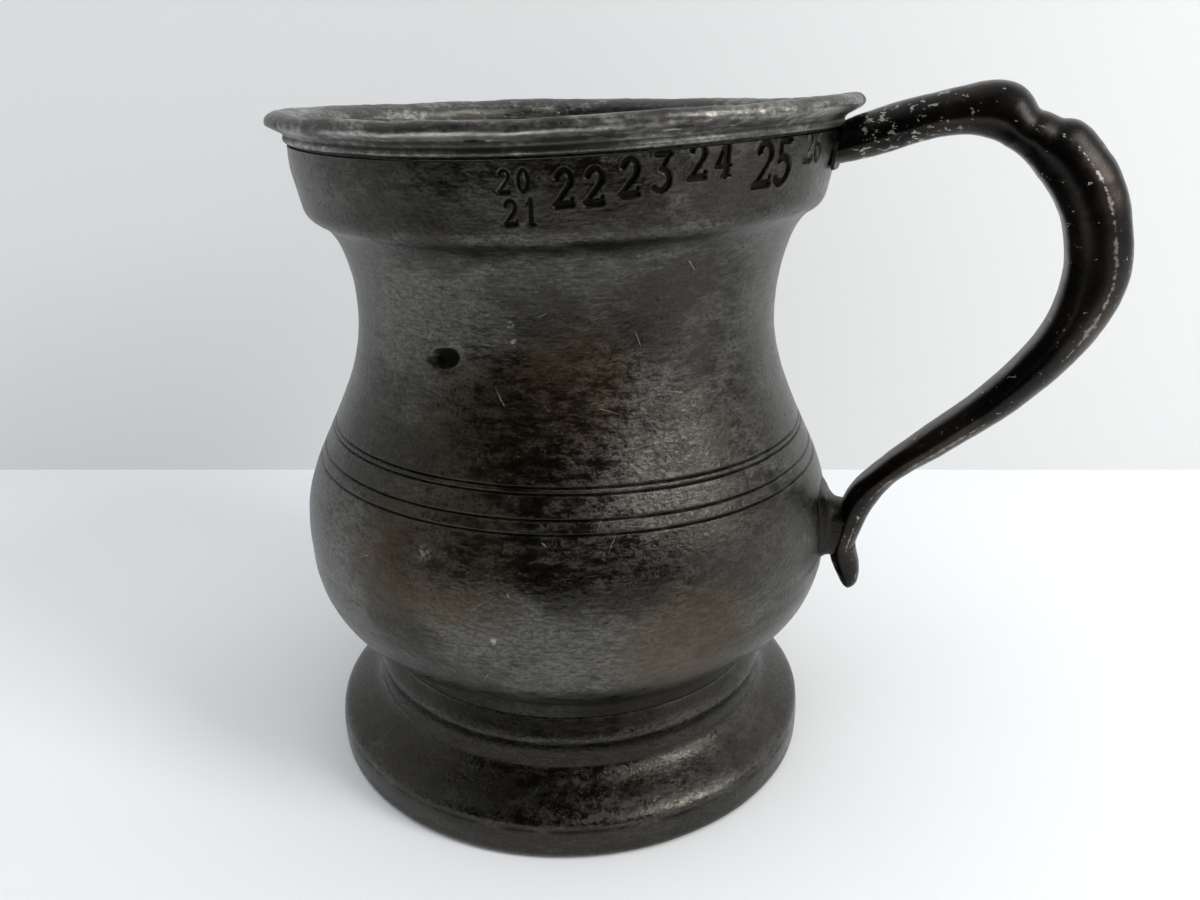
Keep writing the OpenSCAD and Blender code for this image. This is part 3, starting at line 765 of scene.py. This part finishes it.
def foot_outline():
    points = [(foot_radius - 0.9, 0), (foot_radius - 0.35, 0.15), (foot_radius, 0.7),
              (foot_radius, BAND_HEIGHT - 0.25), (foot_radius - 0.35, BAND_HEIGHT),
              (foot_radius - 0.1, BAND_HEIGHT + 0.3)]
    for share in np.linspace(0.08, 1, 24):
        points.append((STEP[0] + (foot_radius - STEP[0]) * (1 + math.cos(math.pi * share)) / 2,
                       BAND_HEIGHT + 0.4 + share * (STEP[1] - BAND_HEIGHT - 0.8)))
    points += [(STEP[0] - 0.4, STEP[1] - 0.2), (STEP[0], STEP[1])]
    for angle in np.linspace(0.15, math.pi - 0.15, 12):
        points.append((STEP[0] - 0.6 * math.sin(angle),
                       STEP[1] + (RIDGE_HEIGHT - STEP[1]) * angle / math.pi))
    points += [(STEP[0], RIDGE_HEIGHT), (STEP[0] - 0.7, RIDGE_HEIGHT + 1.4),
               (WAIST[0] + 0.3, foot_top - 0.3), (WAIST[0] + 0.15, foot_top)]
    return points


def foot_shape(points):
    """Bends the foot like the body; dirt and painted shade darken its groove and upper neck, and
    wear and painted highlights lighten its rims and ridge.
    """
    z = points[:, 2]
    outside = polar(points)[0] > STEP[0] - THIN_SKIN
    broken = step_up(lumps(points, 2.5, 31) + 0.6 * lumps(points, 0.8, 32), -0.5, 0.5)
    # Dirt and painted shade in the groove at the band; painted shade on the concave neck under the
    # belly.
    hollow = np.exp(-((z - BAND_HEIGHT) / 0.3) ** 2) * broken
    hollow += 0.5 * np.exp(-((z - foot_top + 1.0) / 1.4) ** 2)
    # Wear and painted highlights: the band's top, the bottom rim and the ridge are made lighter.
    rub_and_highlight = 0.6 * np.exp(-((z - BAND_HEIGHT - 0.9) / 0.7) ** 2) + np.exp(-((z - 0.5) / 0.4) ** 2) \
        + 0.7 * np.exp(-((z - RIDGE_HEIGHT - 0.3) / 0.9) ** 2)
    rub_and_highlight = rub_and_highlight * (0.6 + 0.7 * lumps(points, 4.0, 34))
    return knocked(points), {"hollow": outside * np.clip(hollow, 0, 1),
                             "edge": outside * np.clip(rub_and_highlight, 0, 1)}


foot_outer = softened(strided(foot_outline(), 0.22), 14)
foot_inner = [(spigot_radius, foot_top), (spigot_radius, spigot_top),
              (spigot_radius - 2.6, spigot_top), (29.7, 8.9), (31.1, 7.4), (34.2, 5.8),
              (36.3, 4.3), (36.5, 3.7), (foot_radius - 3.2, 0)]
finished(spun(np.vstack([foot_outer, strided(foot_inner, 1.2)])), "foot", ["foot_ring"],
         foot_pewter, foot_shape)

# %% [markdown]
# The lip is flared: a small bead, a crease, a hollow that sweeps out to a thin
# edge, and a rounded inner side. A century of knocks has nicked its edge and bent
# a flap of it up and out over the handle.

# %% The lip
WIDEST_HEIGHT = joint_height + 3.0
CREST_INSET = 1.2
BEAD = 0.5
INNER_POWER = 2.2
crest_radius = lip_radius - CREST_INSET
crease = (collar_top_radius + 0.3, joint_height + FILM + 2 * BEAD)
lip_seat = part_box("lip_solder")[1].z / MM


def lip_outline():
    points = []
    for angle in np.radians(np.linspace(-90, 40, 10)):
        points.append((collar_top_radius - 0.1 + (BEAD + 0.1) * math.cos(angle),
                       joint_height + FILM + OPEN_JOINT / 2 + BEAD + BEAD * math.sin(angle)))
    for share in np.linspace(0, 1, 24):
        points.append((crease[0] + (lip_radius - crease[0]) * (1 - math.cos(math.pi * share)) / 2,
                       crease[1] + (WIDEST_HEIGHT - crease[1]) * share))
    for angle in np.linspace(0.1, math.pi / 2, 16):
        points.append((crest_radius + CREST_INSET * math.cos(angle),
                       WIDEST_HEIGHT + (crest_height - WIDEST_HEIGHT) * math.sin(angle)))
    for angle in np.linspace(0.08, math.pi / 2, 20):
        points.append((crest_radius - (crest_radius - bore_radius)
                       * math.sin(angle) ** (2 / INNER_POWER),
                       lip_seat + (crest_height - lip_seat) * math.cos(angle) ** (2 / INNER_POWER)))
    return softened(strided(points, 0.2), 1)


dice = np.random.default_rng(21)
NICKS = [(dice.uniform(-180, 180), dice.uniform(-1.6, 0.6), dice.uniform(0.35, 1.3),
          dice.uniform(0.05, 0.22)) for _ in range(130)]
FLAP = -1.0


def lip_shape(points):
    """Waves, nicks and the bent flap; dirt and painted shade darken the crease and deep nicks, and
    the widest edge is worn.
    """
    radius, azimuth, outward = polar(points)
    z = points[:, 2]
    high = step_up(z, joint_height + 0.8, WIDEST_HEIGHT)
    from_flap = (azimuth - FLAP + 180) % 360 - 180
    ring = np.column_stack([azimuth / 9, 0 * z, 0 * z])
    move = high * (0.14 * lumps(ring, 1, 5) + 0.10 * lumps(points, 2.2, 6)
                   + 0.05 * lumps(points, 0.7, 7))
    rise = high * (0.14 * lumps(ring, 0.8, 8) + 0.05 * lumps(points, 1.3, 9))
    bent = np.exp(-(from_flap / 7.5) ** 2) * high
    move += 0.35 * bent * step_up(from_flap, -3, 2)
    rise += 0.45 * bent
    torn = np.exp(-((from_flap - 1.0) / 1.3) ** 2) * high
    move -= 0.5 * torn
    rise -= 0.3 * torn
    # Dirt and painted shade in the crease, and below in the deep nicks.
    hollow = np.exp(-((z - crease[1]) / 0.22) ** 2) * (radius > collar_top_radius - 0.8)
    edge = np.exp(-((z - WIDEST_HEIGHT + 0.5) / 0.6) ** 2) * (radius > crest_radius)
    for at, height, size, depth in NICKS:
        along = along_wall(azimuth, at, radius)
        far = (along ** 2 + (z - WIDEST_HEIGHT - height) ** 2) / size ** 2
        dip = np.exp(-far) * (radius > crest_radius)
        move -= depth * dip
        hollow = np.maximum(hollow, 0.5 * dip * (depth > 0.15))
    moved = points + outward * move[:, None]
    moved[:, 2] += lift(azimuth) + rise
    edge *= 0.35 + 0.8 * np.exp(-((azimuth + 80) / 24) ** 2) + 0.5 * lumps(ring, 1.5, 35)
    return moved, {"hollow": hollow, "edge": np.clip(edge, 0, 1)}


lip_profile = np.vstack([lip_outline(), [(bore_radius, joint_height + FILM)]])
finished(spun(lip_profile), "lip", ["lip_ring"], lip_metal, lip_shape, sharp=60)

# %% [markdown]
# Solder fills the joints, and each film of it has to follow the bent wall or it
# would show through. The open joint under the lip is the one that shows: a dark
# line all round.

# %% Solder in the joints
RECESS = 0.45
OVERLAP = 0.02
FILM_STEPS = 240
FILMS = {  # its node, inner and outer radius, bottom and top
    "lip_joint": ("lip_solder", bore_radius + 0.4, collar_top_radius - RECESS,
                  joint_height - OVERLAP, joint_height + FILM + OVERLAP),
    "belly_joint": ("belly_solder", wall_at(seam_height) - 1.4, wall_at(seam_height) - 0.5,
                    seam_height - FILM / 2, seam_height + FILM / 2),
    "foot_joint": ("foot_solder", REBATE_RADIUS, WAIST[0] + 0.04,
                   foot_top - OVERLAP, foot_top + FILM + OVERLAP),
}


def film_shape(points):
    return knocked(points), {"hollow": np.ones(len(points))}


for film_name, (node_name, inside, outside, low, high) in FILMS.items():
    film = [(inside, low), (outside, low), (outside, high), (inside, high)]
    finished(spun(film, FILM_STEPS), film_name, [node_name], solder, film_shape)

# %% [markdown]
# The handle is a loft: a closed section carried along a smooth course. Each row
# below is one station on its inner side, as in the solid: how far out, how high,
# how deep the section is there and half its width. The section is a narrow inner
# face, two sloping sides, two edges and a rounded back. The mesh starts as a flat
# grid, whose two directions become the course and the section, and its long seam
# is then merged.

# %% The handle's loft
COURSE = np.array([
    (37.4, 92.3, 4.8, 5.3), (38.9, 92.8, 5.0, 5.3), (43.6, 93.9, 5.9, 5.2),
    (49.4, 95.9, 5.7, 4.9), (54.2, 96.7, 6.1, 4.9), (57.3, 96.25, 7.2, 4.9),
    (59.5, 95.25, 5.9, 4.8), (61.2, 94.2, 6.2, 4.8), (62.5, 93.1, 6.7, 4.8),
    (63.55, 91.95, 8.0, 4.9), (64.7, 90.6, 8.2, 4.9), (66.3, 88.25, 8.4, 4.9),
    (67.85, 84.8, 8.2, 4.9), (68.7, 79.0, 8.0, 4.9), (67.2, 72.2, 6.4, 4.8),
    (62.0, 64.3, 5.3, 4.6), (54.3, 56.6, 4.5, 4.2), (48.1, 50.55, 3.8, 3.9),
    (43.9, 45.2, 4.5, 3.7), (42.3, 38.3, 3.8, 3.6), (42.15, 36.2, 3.9, 3.5),
    (42.45, 34.4, 4.05, 3.4), (43.0, 33.0, 3.9, 3.2), (43.6, 31.8, 3.4, 2.9),
    (44.1, 30.8, 2.75, 2.5), (44.6, 30.05, 1.9, 2.0), (45.1, 29.6, 0.9, 1.2)])
SECTION = np.array([(0, 0.37), (0.07, 0.60), (0.34, 1), (0.67, 0.82), (0.93, 0.45), (1, 0),
                    (0.93, -0.45), (0.67, -0.82), (0.34, -1), (0.07, -0.60), (0, -0.37)])
BACK_EDGES = (3 / 11, 7 / 11)
HEADING_REACH = 0.03


def smooth_course(rows, share):
    """A point on the smooth curve through all rows, at shares from 0 to 1."""
    place = np.clip(share, 0, 1) * (len(rows) - 1)
    low = np.minimum(place.astype(int), len(rows) - 2)
    t = (place - low)[:, None]
    a, b = rows[np.maximum(low - 1, 0)], rows[low]
    c, d = rows[low + 1], rows[np.minimum(low + 2, len(rows) - 1)]
    return 0.5 * (2 * b + (c - a) * t + (2 * a - 5 * b + 4 * c - d) * t ** 2
                  + (3 * b - a - 3 * c + d) * t ** 3)


def headings(rows, share):
    """Unit directions of a course in its plane, taken over a short reach of it."""
    ahead = smooth_course(rows, share + HEADING_REACH) - smooth_course(rows, share - HEADING_REACH)
    return ahead[:, :2] / np.linalg.norm(ahead[:, :2], axis=1)[:, None]


stations = np.linspace(0, 1, len(COURSE))
across_course = headings(COURSE, stations)[:, ::-1] * (-1, 1)
MIDDLE = COURSE[:, :2] + across_course * COURSE[:, 2:3] / 2


def around_section(section, share, rounding=0.35):
    """A point on the closed section, at shares from 0 to 1, with its corners rounded."""
    total = 0
    for shift in (-rounding, 0, rounding):
        place = (share * len(section) + shift) % len(section)
        low = place.astype(int) % len(section)
        t = (place % 1)[:, None]
        total = total + (1 - t) * section[low] + t * section[(low + 1) % len(section)]
    return total / 3


def lofted(along, around):
    """A tube whose vertices still lie on a flat grid: x is along it and y round it."""
    bm = bmesh.new()
    bmesh.ops.create_grid(bm, x_segments=along, y_segments=around, size=0.5)
    return bm


def closed(bm):
    """Merges the seam of a tube, caps its ends and turns its faces outwards."""
    bmesh.ops.remove_doubles(bm, verts=bm.verts, dist=2e-6)
    ends = [e for e in bm.edges if e.is_boundary]
    bmesh.ops.holes_fill(bm, edges=ends, sides=0)
    bmesh.ops.recalc_face_normals(bm, faces=bm.faces)


def handle_place(along, around):
    """Points of the handle for shares along the course and round the section."""
    rows = smooth_course(COURSE, along)
    heading = headings(MIDDLE, along)
    section = around_section(SECTION, around)
    depth = section[:, 0] * rows[:, 2]
    return np.column_stack([rows[:, 0] - depth * heading[:, 1], section[:, 1] * rows[:, 3],
                            rows[:, 1] + depth * heading[:, 0]])


def tube_shares(bm):
    shares = np.array([v.co[:2] for v in bm.verts]) + 0.5
    return shares[:, 0], shares[:, 1]


handle_bm = lofted(330, 44)
shares_along, shares_around = tube_shares(handle_bm)
handle_points = handle_place(shares_along, shares_around)
edge_layer = handle_bm.verts.layers.float.new("edge")
for vert, point, around, along in zip(handle_bm.verts, handle_points, shares_around, shares_along):
    vert.co = Vector(point) * MM
    to_edge = min(abs(around - at) for at in BACK_EDGES)
    vert[edge_layer] = math.exp(-(to_edge / 0.020) ** 2) \
        * min(1, max(0, (0.80 - along) / 0.08), max(0, (along - 0.17) / 0.08))
closed(handle_bm)


def handle_shape(points):
    """Slow waves and small dents, because the casting was filed by hand."""
    move = wobble(points, 3.5, 11) * 0.07
    move += wobble(points, 1.1, 12) * 0.035
    inside_wall = step_up(points[:, 0], 38, 40)[:, None]
    return points + move * inside_wall, {}


finished(handle_bm, "handle", ["handle"], handle_skin, handle_shape, sharp=50)

# %% [markdown]
# A short block joins the tail to the belly. It was run on with solder, so it
# spreads smoothly where it meets the wall. It is the same kind of loft, with a
# rounded oblong section that grows towards the belly. Each row is how far out it
# is, its middle's height, half its height and half its width.

# %% The block behind the tail
BLOCK = np.array([
    (39.0, 40.2, 6.9, 6.9), (40.0, 40.1, 6.3, 6.2), (40.7, 40.0, 5.6, 5.3), (41.2, 39.8, 5.0, 4.5),
    (41.8, 39.6, 4.6, 3.8), (42.6, 39.45, 4.45, 3.4), (44.6, 39.4, 4.4, 3.1)])
SQUARENESS = 0.7


def block_place(along, around):
    rows = smooth_course(BLOCK, along)
    turn = around * 2 * math.pi
    across = np.sign(np.cos(turn)) * np.abs(np.cos(turn)) ** SQUARENESS
    tall = np.sign(np.sin(turn)) * np.abs(np.sin(turn)) ** SQUARENESS
    return np.column_stack([rows[:, 0], across * rows[:, 3], rows[:, 1] + tall * rows[:, 2]])


def block_shape(points):
    """Small lumps, and painted shade all over, which darkens the whole block."""
    return points + wobble(points, 1.5, 13) * 0.05, {"hollow": np.full(len(points), 0.5)}


block_bm = lofted(36, 56)
for vert, point in zip(block_bm.verts, block_place(*tube_shares(block_bm))):
    vert.co = Vector(point) * MM
closed(block_bm)
finished(block_bm, "block", ["lower_strut", "strut_solder"], foot_pewter,
         block_shape)

# %% [markdown]
# The nodes that already have their true shape stay as they are. They only need a
# finish, which goes into the material slot of the CAD object itself.

# %% Finishes for the nodes that stay
STAYING = {"base_disc": inner_pewter, "base_solder": solder, "handle_solder": solder}
for node_name, material in STAYING.items():
    node_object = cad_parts[node_name]
    node_object.data.materials.clear()
    node_object.data.materials.append(material)
print("finished in place:", sorted(STAYING))

# %% [markdown]
# The measure stands on a white table in front of a pale board. Metal shows what
# is round it, so the studio is the other half of the finish: pale sides and
# table, one soft window lamp to the right, and a dark curved screen where the
# photographer would stand, which only the metal sees.

# %% Table, board, world and lamps
BOARD_DISTANCE = 256 * MM
SCREEN_RADIUS = 420 * MM
SCREEN_TURNS = (math.radians(-64), math.radians(44))
WINDOW_WATTS = 2.6
SKYLIGHT_WATTS = 4.2
ROOM_STRENGTH = 0.68
# The screen's outline: reach as a share of its radius, and height in metres.
SCREEN_PROFILE = [(0.45, 0.001), (1, 0.001), (1, 0.35), (0.85, 0.50), (0.55, 0.60), (0.2, 0.64)]
heading = Vector((-math.sin(HANDLE_TURN - EYE_YAW), math.cos(HANDLE_TURN - EYE_YAW), 0))


def plain_paint(name, colour, one_sided=False):
    """A matt paint; a one-sided one can be looked through from behind."""
    f = Finish(name)
    shader = f.node("ShaderNodeBsdfDiffuse", Color=colour)
    output = f.node("ShaderNodeOutputMaterial")
    if not one_sided:
        f.tree.links.new(shader.outputs[0], output.inputs["Surface"])
        return f.material
    side = f.node("ShaderNodeNewGeometry")
    clear_side = f.node("ShaderNodeBsdfTransparent")
    chosen = f.node("ShaderNodeMixShader")
    f.tree.links.new(side.outputs["Backfacing"], chosen.inputs[0])
    f.tree.links.new(shader.outputs[0], chosen.inputs[1])
    f.tree.links.new(clear_side.outputs[0], chosen.inputs[2])
    f.tree.links.new(chosen.outputs[0], output.inputs["Surface"])
    return f.material


def staged(bm, name, material):
    """A part of the studio, which isn't part of the measure."""
    mesh = bpy.data.meshes.new(name)
    bm.to_mesh(mesh)
    bm.free()
    piece = bpy.data.objects.new(name, mesh)
    mesh.materials.append(material)
    scene.collection.objects.link(piece)
    return piece


def card(name, width, height, middle, facing, material):
    """A flat card of the studio, with its face towards a direction."""
    bm = bmesh.new()
    bmesh.ops.create_grid(bm, x_segments=1, y_segments=1, size=0.5)
    bmesh.ops.scale(bm, vec=(width, height, 1), verts=bm.verts)
    turn = Vector(facing).to_track_quat("Z", "Y").to_matrix().to_4x4()
    bmesh.ops.transform(bm, matrix=Matrix.Translation(middle) @ turn, verts=bm.verts)
    staged(bm, name, material)


card("table", 3.0, 3.0, (0, 0, 0), (0, 0, 1), plain_paint("table_white", rgb(0.82, 0.835, 0.84)))
board_place = Vector((camera.location.x, camera.location.y, 0)) + heading * BOARD_DISTANCE
card("board", 1.6, 0.8, board_place + Vector((0, 0, 0.4)), -heading,
     plain_paint("board_white", rgb(0.735, 0.74, 0.74), one_sided=True))

screen_bm = bmesh.new()
screen_wire = [screen_bm.verts.new(round_axis(SCREEN_RADIUS * reach, SCREEN_TURNS[0], height))
               for reach, height in SCREEN_PROFILE]
screen_edges = [screen_bm.edges.new(pair) for pair in zip(screen_wire, screen_wire[1:])]
bmesh.ops.spin(screen_bm, geom=screen_wire + screen_edges, cent=(0, 0, 0), axis=(0, 0, 1),
               angle=SCREEN_TURNS[1] - SCREEN_TURNS[0], steps=24)
screen = staged(screen_bm, "dark_screen", plain_paint("screen_black", rgb(0.03, 0.027, 0.024)))
screen.visible_camera = False
screen.visible_shadow = False
screen.visible_diffuse = False

world = bpy.data.worlds.new("room")
world.use_nodes = True
world.node_tree.nodes["Background"].inputs[0].default_value = rgb(0.93, 0.96, 1.0)
world.node_tree.nodes["Background"].inputs[1].default_value = ROOM_STRENGTH
scene.world = world


def lamp(name, place, aim, width, height, watts, colour):
    data = bpy.data.lights.new(name, "AREA")
    data.shape = "RECTANGLE"
    data.size = width
    data.size_y = height
    data.energy = watts
    data.color = colour
    made = bpy.data.objects.new(name, data)
    made.location = place
    made.rotation_euler = (Vector(aim) - Vector(place)).to_track_quat("-Z", "Y").to_euler()
    scene.collection.objects.link(made)
    return made


lamp("window", round_axis(0.55, math.radians(58), 0.42), (0, 0, 0.05), 0.20, 0.36, WINDOW_WATTS,
     (1.0, 0.97, 0.94))
skylight = lamp("skylight", (-0.2, -0.1, 1.0), (-0.1, 0, 0), 1.2, 1.2, SKYLIGHT_WATTS,
                (0.97, 0.98, 1.0))
skylight.visible_glossy = False
print("studio ready, board at", [round(c / MM) for c in board_place])

# %% [markdown]
